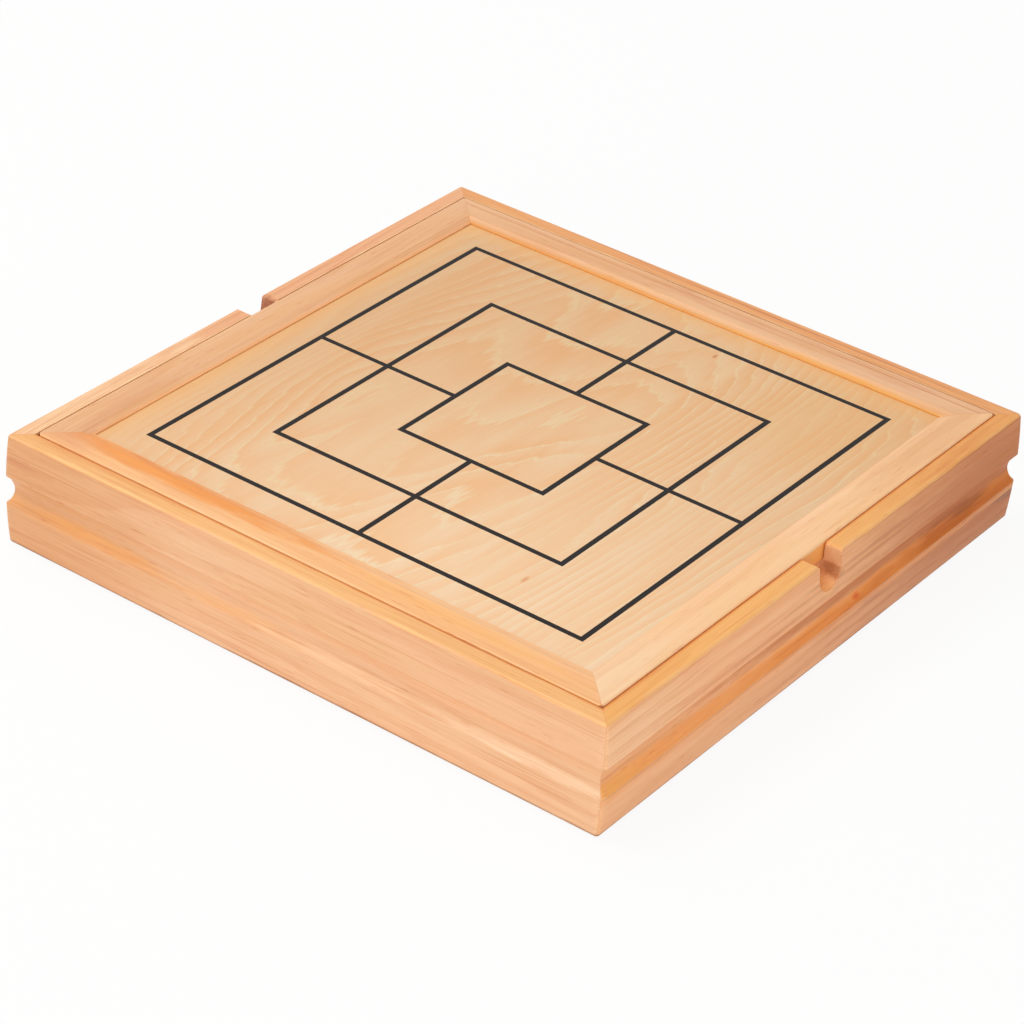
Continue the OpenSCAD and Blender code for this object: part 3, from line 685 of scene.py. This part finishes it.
# %% Front and back rail
front_rail_patches = [
    Patch((-80, -inner_edge - 4.5, lid_z), (110, 8, LONG), (246, 151, 36), 0.85, 0.3),
    Patch((-132, -inner_edge - 9, lid_z), (30, 10, LONG), (236, 166, 110), 0.8, 0.2),
    Patch((60, -inner_edge - 8, lid_z), (80, 5, LONG), (255, 188, 110), 0.7, 0.2),
    rail_painted_light(-lid_half),
]
back_rail_patches = [
    # Painted shade and painted bounced light in the little cove along the inner edge.
    Patch((70, inner_edge, lid_z), (110, 3.2, LONG), (250, 178, 80), 0.9, 0.4),
    Patch((-60, inner_edge, lid_z), (110, 2.8, LONG), (244, 166, 76), 0.9, 0.4),
    Patch((0, inner_edge + 12, lid_z), (LONG, 1.2, LONG), (222, 154, 98), 0.6, 0.2),
    Patch((40, inner_edge + 8.6, lid_z), (90, 0.9, LONG), (222, 154, 98), 0.5, 0.2),
]
wear(pine("lid_front_pine", "X", (-100, 90), salmon, 11, arrises=lid_arrises,
          patches=front_rail_patches), "lid_front_rail")
wear(pine("lid_back_pine", "X", (150, 20), pinkish, 12, rings=0.4, threads=0.4, arrises=lid_arrises,
          patches=back_rail_patches), "lid_back_rail")

# %% Left and right rail
left_rail_patches = [
    # Painted shade and painted bounced light along the inner edge.
    Patch((0, inner_edge, lid_z), (LONG, 2.0, LONG), (242, 168, 100), 0.7, 0.4),
    Patch((-96, inner_edge + 6, lid_z), (50, 4, LONG), (222, 152, 98), 0.6, 0.2),
]
right_rail_patches = [
    Patch((-118, -inner_edge - 8, lid_z), (44, 12, LONG), (255, 216, 172), 0.8, 0.2),
    Patch((110, -inner_edge - 8, lid_z), (100, 12, LONG), (238, 182, 126), 0.8, 0.2),
    rail_painted_light(-lid_half),
]
wear(pine("lid_left_pine", "Y", (150, 10), pinkish, 13, rings=0.4, threads=0.5, arrises=lid_arrises,
          patches=left_rail_patches), "lid_left_rail")
wear(pine("lid_right_pine", "Y", (-90, 110), cream, 14, rings=0.3, threads=0.2, arrises=lid_arrises,
          patches=right_rail_patches), "lid_right_rail")

# %% [markdown]
# ## Rotary-cut plywood
#
# The board's face veneer is peeled off a turning log, like paper off a roll. Such a cut follows the rings
# instead of crossing them, so its figure is the contour lines of a gently hilly surface: long flames and
# closed islands. Smooth noise, stretched along the grain and counted in steps, gives just such contours.
# Each step fades from pale to orange and ends in a fine whitish line. The pine recipe couldn't give these
# islands, because its rings all have one middle.

# %% The veneer recipe
line_lift, feathering = 8, 0.8
veneer_cover = {"drift": 0.6, "bands": 0.44, "lines": 0.95, "flecks": 0.2, "fibres": 0.45}


def contours(grain, seed, islands=(), count=7, rings=3.4, lean=0.12):
    """The soft orange bands of a peeled veneer and the pale lines between them; islands are closed rings."""
    along, across, up = grain
    leaning = (along, across + along * lean, up)
    hills = mottle(leaning, (240, 46, 300), seed, detail=1.0, distortion=0.4) * count
    for island in islands:
        hills = hills + reaches_off(grain, island.centre, island.reach) * rings
    feather = mottle(leaning, (34, 3.2, 90), seed + 1, detail=3.0)
    contour = hills.math("FRACT", hills + feather * feathering)
    return step(contour, 0.1, 0.8) * step(contour, 1.0, 0.86), hill(contour, 0.96, 0.17)


def veneer_colour(grain, tones, seed, islands=()):
    """A peeled veneer's colour, its bands and its flecks; tones are middle, pale and deep."""
    middle, pale, deep = (linear(*tone) for tone in tones)
    whitish = linear(*(min(255, level + line_lift) for level in tones[1]))
    bands, lines = contours(grain, seed, islands)
    show = step(mottle(grain, (90, 40, 300), seed + 6), 0.32, 0.62) * 0.6 + 0.4
    drift = step(mottle(grain, (150, 14, 300), seed + 4, distortion=0.3), 0.34, 0.66)
    flecks = step(mottle(grain, (6, 0.5, 9), seed + 3, detail=1.0), 0.58, 0.74)
    colour = tint(drift * veneer_cover["drift"], pale, middle)
    colour = tint(bands * show * veneer_cover["bands"], colour, deep)
    colour = tint(lines * show * veneer_cover["lines"], colour, whitish)
    colour = tint(flecks * veneer_cover["flecks"], colour, deep)
    return colour, bands, flecks


def veneer(name, run, tones, seed, patches=(), islands=(), painted_shade=(), coat=0.2):
    """A panel whose faces are peeled veneer. Patches cover the figure, and painted shade only darkens it."""
    material, start = new_finish(name)
    grain = grain_place(start, run)
    colour, bands, flecks = veneer_colour(grain, tones, seed, islands)
    fibres = mottle(grain, (16, 0.5, 20), seed + 5, detail=3.0)
    for wash in painted_shade:
        mask = nearness(grain, wash.centre, wash.reach, wash.core) * wash.strength
        colour = shade(colour, mask, linear(*wash.tone))
    colour = patched(colour, grain, patches, (fibres - 0.5) * 0.4)
    colour = shade(colour, fibres * veneer_cover["fibres"], linear(238, 228, 216))
    close_finish(start, colour, fibres * 0.14 + bands * 0.04 + SATIN, fibres * 0.6 + flecks * 0.4,
                 depth_mm=0.03, coat=coat)
    return material


print("how far each layer of the veneer covers:", veneer_cover)

# %% Board and bottom
board_tones = [(255, 208, 157), (255, 223, 185), (254, 193, 131)]
# Painted shade, darkening the board towards the back and the left, where less light falls.
board_painted_shade = [Patch((150, 0, 0), (340, LONG, LONG), (234, 221, 200), 1.0, 0.1),
                Patch((-60, 150, 0), (320, 200, LONG), (241, 229, 212), 1.0, 0.1),
                Patch((84, -88, 0), (60, 46, LONG), (255, 250, 236), 1.0, 0.3)]
board_patches = [
    # Two specks, painted orange light bounced from the frame along its edges, and one pale flame.
    Patch((98.5, -24.5, 0), (2.6, 1.1, LONG), (206, 122, 64), 0.9, 0.2),
    Patch((-88, -66, 0), (3.6, 1.3, LONG), (226, 148, 84), 0.7, 0.2),
    Patch((inner_edge, 0, 0), (12, LONG, LONG), (246, 182, 104), 0.45, 0.1),
    Patch((0, inner_edge, 0), (LONG, 11, LONG), (246, 184, 108), 0.5, 0.1),
    Patch((90, -36, 0), (26, 5, LONG), (238, 212, 166), 0.4, 0.2),
]
board_islands = [Patch((15, -36, 0), (115, 32, LONG), None), Patch((-20, 76, 0), (90, 30, LONG), None)]
wear(veneer("board_veneer", "Y", board_tones, 21, board_patches, board_islands, board_painted_shade), "lid_panel")
wear(veneer("bottom_veneer", "X", [(226, 190, 144), (238, 208, 168), (208, 168, 120)], 27, coat=0.0),
     "bottom_panel")

# %% [markdown]
# ## Dividers
#
# A divider is a strip of three-ply. Its faces are veneer, and its sawn top edge shows the core between two
# pale plies, with a thin dark line of glue on either side. Which ply a point is in depends only on its
# distance from the middle of the strip. The plies never part, so drawing them on one solid is enough.

# %% The divider recipe
core_half, glue_half = 0.8, 0.12


def three_ply(name, node, run, seed):
    """Raw plywood whose plies stand upright, half way through the node's thickness."""
    material, start = new_finish(name)
    grain = grain_place(start, run)
    low, high = corners(node)
    thin = 1 if run == "X" else 0
    middle = (low[thin] + high[thin]) / 2
    depth = abs(true_place(start)[thin] - middle)
    upright = (grain[0], grain[2], grain[1])
    colour, _, _ = veneer_colour(upright, [(224, 186, 140), (238, 208, 168), (206, 164, 116)], seed)
    pores = step(mottle(grain, (0.5, 0.5, 0.5), seed + 6), 0.5, 0.75)
    core = tint(pores * 0.5, linear(196, 148, 100), linear(150, 104, 66))
    colour = tint(step(depth, core_half, core_half - 0.1), colour, core)
    colour = tint(hill(depth, core_half, glue_half) * 0.7, colour, linear(110, 72, 44))
    fibres = mottle(upright, (14, 0.5, 20), seed + 5, detail=3.0)
    close_finish(start, colour, fibres * 0.15 + 0.5, fibres * 0.7 + pores * 0.3, depth_mm=0.05)
    return material


dividers = [("front_divider", "X"), ("middle_divider", "X"), ("left_divider", "Y"), ("right_divider", "Y"),
            ("dice_divider", "Y")]
for seed, (node, run) in enumerate(dividers, start=31):
    wear(three_ply(node + "_ply", node, run, seed), node)

# %% [markdown]
# ## Printed lines and squares
#
# The morris lines are satin black ink, and the chequered board under the lid is brown. Ink on wood follows
# the fibres: they still show as fine ridges in the sheen, and here and there the ink is a little thin. The
# print is a thin piece of its own, so the panel's finish needs no mask for it.

# %% Inks
def ink(name, ink_colour, bare_colour, thin_spots, roughness, seed):
    """Satin ink over a veneer whose grain runs along Y."""
    material, start = new_finish(name)
    grain = grain_place(start, "Y")
    fibres = mottle(grain, (14, 0.5, 20), seed, detail=3.0)
    blotch = mottle(grain, (9, 5, 9), seed + 1)
    thin = step(fibres * 0.6 + blotch * 0.4, 0.56, 0.72) * thin_spots
    colour = tint(thin, linear(*ink_colour), linear(*bare_colour))
    close_finish(start, colour, fibres * 0.12 + roughness, fibres, depth_mm=0.03, sheen=0.2)
    return material


wear(ink("black_ink", (22, 14, 11), (52, 40, 32), 0.35, 0.46, 26), "morris_lines")
wear(ink("brown_ink", (96, 52, 30), (168, 112, 72), 0.5, 0.42, 28), "chequer_squares")

# %% [markdown]
# ## Turned wood
#
# The chessmen and draughtsmen are beech, some waxed and some stained dark. Beech has no bold figure. What
# gives it away are its rays, short dark dashes no longer than a grain of rice, and a soft banding of rings.
# A turner keeps the grain along the man's height, so it runs upwards in the men that stand and along Y in
# those that lie.

# %% The beech recipe
def beech_rays(grain, seed):
    """1 on the short dark dashes of beech."""
    return step(mottle(grain, (1.5, 0.32, 0.32), seed, detail=1.0), 0.6, 0.72)


def beech_fibres(grain, seed):
    """The fine fibres of beech, for its sheen and its bumps."""
    return mottle(grain, (9, 0.4, 0.4), seed, detail=3.0)


def beech(name, run, pale, deep, seed, ray_show=0.5, polish=0.32, depth_mm=0.03):
    """Turned beech with its grain along one axis."""
    material, start = new_finish(name)
    grain = grain_place(start, run)
    rays = beech_rays(grain, seed)
    rings = mottle(grain, (60, 1.8, 1.8), seed + 1, distortion=0.4)
    blotch = mottle(grain, (16, 9, 9), seed + 2)
    colour = tint(step(rings, 0.3, 0.7) * 0.5 + blotch * 0.3, linear(*pale), linear(*deep))
    colour = shade(colour, rays * ray_show, linear(200, 160, 124))
    fibres = beech_fibres(grain, seed + 3)
    close_finish(start, colour, fibres * 0.14 + polish, fibres * 0.7 + rays * 0.3, depth_mm, coat=0.2)
    return material


light_beech = [(240, 206, 158), (222, 180, 128)]
dark_beech = [(104, 62, 38), (66, 36, 22)]
standing = ["pawns", "rooks", "knights"]
lying = ["bishops", "queen", "king"]
for side, tones, seed in (("light", light_beech, 41), ("dark", dark_beech, 47)):
    wear(beech(side + "_beech_upright", "Z", *tones, seed), *[f"{side}_{man}" for man in standing])
    wear(beech(side + "_beech_lying", "Y", *tones, seed + 1), *[f"{side}_{man}" for man in lying])
    wear(beech(side + "_beech_discs", "X", *tones, seed + 2), f"{side}_draughtsmen")

# %% [markdown]
# ## Dice and dominoes
#
# Their pips are drilled in the wood, and only the hollows are painted. Picking their faces would change the
# packed mesh, so the shader has to know where a hollow is. On a domino the painted parts face more or less
# upwards and lie lower than the top face of their layer. On a die they lie inside the rounded cube, whose
# surface is easy to write as a sum.

# %% Dominoes
domino_rules = {"layers": 4, "air": 0.05, "lift": 0.02, "film": 0.03, "inner floor": 1.0, "facing": 0.3}


def dominoes_finish():
    """Dark stained beech with white paint in the pips and in the score across the middle."""
    material, start = new_finish("domino_beech")
    grain = grain_place(start, "X")
    low, high = corners("dominoes")
    layer = (high.z - low.z + domino_rules["air"]) / domino_rules["layers"]
    above = start.math("FRACT", (grain[2] - low.z + domino_rules["lift"]) / layer) * layer
    facing = start.add("NewGeometry", out="Normal")
    upwards = start.add("SeparateXYZ", inputs={0: facing}, out="Z")
    below_top = layer - domino_rules["air"] - domino_rules["film"]
    painted = ((upwards > domino_rules["facing"]) * (above < below_top)
               * (above > domino_rules["inner floor"]))
    rays = beech_rays(grain, 51)
    bands = mottle(grain, (50, 2.2, 2.2), 52, distortion=0.4)
    wood = tint(step(bands, 0.3, 0.7), linear(92, 52, 30), linear(56, 30, 18))
    wood = shade(wood, rays * 0.4, linear(190, 150, 120))
    chips = step(mottle(grain, (0.9, 0.9, 0.9), 53), 0.3, 0.38)
    colour = tint(painted * chips, wood, linear(244, 238, 222))
    fibres = beech_fibres(grain, 54)
    close_finish(start, colour, fibres * 0.14 + 0.3, fibres, depth_mm=0.03, coat=0.2)
    return material


wear(dominoes_finish(), "dominoes")

# %% Dice
dice_rules = {"spacing": 0.8, "ball": 0.71, "skin": 0.05, "ball_skin": 0.06}


def dice_finish():
    """Pale waxed beech with black paint in the pips."""
    material, start = new_finish("dice_beech")
    grain = grain_place(start, "X")
    low, high = corners("dice")
    die = high.z - low.z
    pitch = die + dice_rules["spacing"]
    inside = []
    # The row of dice ends at the highest X, the lowest Y and the lowest Z.
    for axis, corner in ((0, high.x), (1, low.y), (2, low.z)):
        centre = corner - die / 2 if axis == 0 else corner + die / 2
        cell = (grain[axis] - centre) / pitch
        inside.append((cell - start.math("ROUND", cell)) * pitch)
    reach = start.math("MAXIMUM", start.math("MAXIMUM", abs(inside[0]), abs(inside[1])), abs(inside[2]))
    radius = start.add("VectorMath", {"operation": "LENGTH"}, {0: joined(*inside)}, out="Value")
    ball = die * dice_rules["ball"]
    painted = (reach < die / 2 - dice_rules["skin"]) * (radius < ball - dice_rules["ball_skin"])
    bands = mottle(grain, (50, 2.0, 2.0), 56, distortion=0.4)
    wood = tint(step(bands, 0.3, 0.7), linear(244, 218, 176), linear(228, 194, 146))
    rays = beech_rays(grain, 57)
    wood = shade(wood, rays * 0.5, linear(206, 170, 130))
    colour = tint(painted, wood, linear(34, 28, 26))
    fibres = beech_fibres(grain, 58)
    close_finish(start, colour, fibres * 0.14 + 0.32, fibres, depth_mm=0.03, coat=0.2)
    return material


wear(dice_finish(), "dice")

# %% [markdown]
# ## Pick-up sticks
#
# The sticks are raw birch with dyed rings near both ends, and a stick's rings tell its worth. All the
# sticks are one piece here, so the shader asks in which cell of the bundle a point lies, and draws one
# of five dyes for that cell.

# %% Sticks
def sticks_finish():
    """Raw birch with two dyed rings near each end of every stick."""
    material, start = new_finish("stick_birch")
    grain = grain_place(start, "X")
    along, across, up = grain
    low, high = corners("pick_up_sticks")
    stick, gap = 3.0, 0.2
    rise = (stick + gap) * math.sin(math.radians(60))
    layer = start.math("ROUND", (up - low.z - stick / 2) / rise)
    shift = start.math("MODULO", layer, 2.0) * ((stick + gap) / 2)
    column = start.math("ROUND", (across - low.y - stick / 2 - shift) / (stick + gap))
    cell = joined(column, layer, 0.0)
    lot = start.add("TexWhiteNoise", {"noise_dimensions": "3D"}, {"Vector": cell}, out="Value")
    dyes = [(0.0, linear(190, 34, 30)), (0.3, linear(30, 78, 168)), (0.55, linear(34, 124, 62)),
            (0.75, linear(232, 176, 36)), (0.92, linear(36, 32, 32))]
    dye = start.add("ValToRGB", {"stops": dyes}, {0: lot})
    dye.socket.node.color_ramp.interpolation = "CONSTANT"
    from_middle = abs(along - (low.x + high.x) / 2)
    broad_ring, narrow_ring = 62, 74
    rings = (step(abs(from_middle - broad_ring), 5.2, 4.8)
             + step(abs(from_middle - narrow_ring), 2.6, 2.2))
    fibres = mottle(grain, (18, 0.35, 0.35), 61, detail=3.0)
    wood = tint(fibres, linear(236, 208, 160), linear(214, 178, 126))
    faded = mottle(grain, (3, 0.5, 0.5), 62) * 0.3 + 0.7
    close_finish(start, tint(rings * faded, wood, dye), fibres * 0.1 + 0.5, fibres, depth_mm=0.03)
    return material


wear(sticks_finish(), "pick_up_sticks")

# %% [markdown]
# ## Two packs of cards
#
# A pack isn't a block. It is some fifty cards that never lie quite square. One card is modelled: a plane
# whose corners are bevelled round, extruded to the thickness of a card. It is then copied up the pack, each
# copy with its own mesh and a slight shift and turn. Lines drawn on the sides of a block would look much
# the same from afar, but near by the uneven edges catch the light. The packed block stays behind for
# collision only.

# %% One card
card_rules = {"cards": 54, "corner": 3.5, "play": 0.8, "thickness": 0.96, "shift": 0.22,
              "turn": math.radians(0.25)}


def one_card(name, low, high, thick):
    """A single card lying at the bottom of its pack, rounded at the corners."""
    bpy.ops.object.select_all(action="DESELECT")
    bpy.ops.mesh.primitive_plane_add(size=1, location=((low.x + high.x) / 2 * MM, (low.y + high.y) / 2 * MM,
                                                       low.z * MM))
    card = bpy.context.object
    card.name = name
    card.scale = ((high.x - low.x - card_rules["play"]) * MM, (high.y - low.y - card_rules["play"]) * MM, 1)
    bpy.ops.object.transform_apply(location=True, rotation=False, scale=True)
    bpy.ops.object.mode_set(mode="EDIT")
    bpy.ops.mesh.select_all(action="SELECT")
    bpy.ops.mesh.bevel(offset=card_rules["corner"] * MM, segments=5, affect="VERTICES")
    bpy.ops.mesh.extrude_region_move(TRANSFORM_OT_translate={"value": (0, 0, thick * MM)})
    bpy.ops.mesh.select_all(action="SELECT")
    bpy.ops.mesh.normals_make_consistent(inside=False)
    bpy.ops.object.mode_set(mode="OBJECT")
    return card


print("a pack has", card_rules["cards"], "cards with corners of", card_rules["corner"], "mm")

# %% A whole pack
def card_deck(name, node, seed):
    """Copies one card up the pack, joins the copies, and lets them stand for the packed block."""
    low, high = corners(node)
    pitch = (high.z - low.z) / card_rules["cards"]
    first = one_card(name, low, high, pitch * card_rules["thickness"])
    middle = Vector(((low.x + high.x) / 2, (low.y + high.y) / 2, 0)) * MM
    hand = random.Random(seed)
    copies = []
    for level in range(1, card_rules["cards"]):
        copy = first.copy()
        copy.data = first.data.copy()
        bpy.context.collection.objects.link(copy)
        nudge = Vector((hand.uniform(-1, 1), hand.uniform(-1, 1), 0)) * card_rules["shift"] * MM
        lift = Vector((0, 0, level * pitch * MM))
        twist = Matrix.Rotation(hand.uniform(-1, 1) * card_rules["turn"], 4, "Z")
        copy.data.transform(Matrix.Translation(middle + nudge + lift) @ twist @ Matrix.Translation(-middle))
        copies.append(copy)
    bpy.ops.object.select_all(action="DESELECT")
    for card in [first, *copies]:
        card.select_set(True)
    bpy.context.view_layer.objects.active = first
    bpy.ops.object.join()
    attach(first, "case")
    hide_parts(node)
    return first


red_deck = card_deck("red_cards", "red_card_pack", 71)
blue_deck = card_deck("blue_cards", "blue_card_pack", 72)

# %% [markdown]
# ## Backs of the cards
#
# The backs carry a plain lattice inside a white border. The pattern is drawn by the shader, in millimetres
# from the middle of the pack, and only on what lies as high as the top card: all the rest is white edges.

# %% Card backs
def card_finish(name, node, dye, seed):
    """White card with a dyed diamond lattice on the uppermost back."""
    material, start = new_finish(name)
    place = true_place(start)
    low, high = corners(node)
    x = place[0] - (low.x + high.x) / 2
    y = place[1] - (low.y + high.y) / 2
    border, line_width, soft, diamond = 4.2, 0.8, 0.15, 4.6
    half_x = (high.x - low.x - card_rules["play"]) / 2 - border
    half_y = (high.y - low.y - card_rules["play"]) / 2 - border

    def within(less):
        """1 inside the printed field, less a margin."""
        return (step(abs(x), half_x - less, half_x - less - soft)
                * step(abs(y), half_y - less, half_y - less - soft))

    inside = within(0)
    frame_line = inside * (1 - within(line_width))
    slant_up = abs(start.math("PINGPONG", (x + y) / diamond, 1.0) - 0.5)
    slant_down = abs(start.math("PINGPONG", (x - y) / diamond, 1.0) - 0.5)
    lattice = step(start.math("MINIMUM", slant_up, slant_down), 0.10, 0.06)
    dots = step(start.math("MINIMUM", slant_up + slant_down, 1.0), 0.78, 0.86)
    printed = start.math("MAXIMUM", frame_line, inside * (1 - lattice * 0.75) * (1 - dots * 0.8))
    on_top = step(place[2], high.z - 0.12, high.z - 0.08)
    edges = mottle(place, (30, 30, 0.2), seed)
    paper = tint(edges, linear(250, 247, 240), linear(222, 214, 200))
    colour = tint(printed * on_top, paper, linear(*dye))
    linen = mottle(place, (0.5, 0.5, 0.5), seed + 1)
    close_finish(start, colour, linen * 0.1 + 0.3, linen, depth_mm=0.01, coat=0.15)
    return material


for deck, node, dye, seed in ((red_deck, "red_card_pack", (172, 34, 34), 73),
                              (blue_deck, "blue_card_pack", (36, 66, 140), 75)):
    deck.data.materials.clear()
    deck.data.materials.append(card_finish(deck.name + "_finish", node, dye, seed))
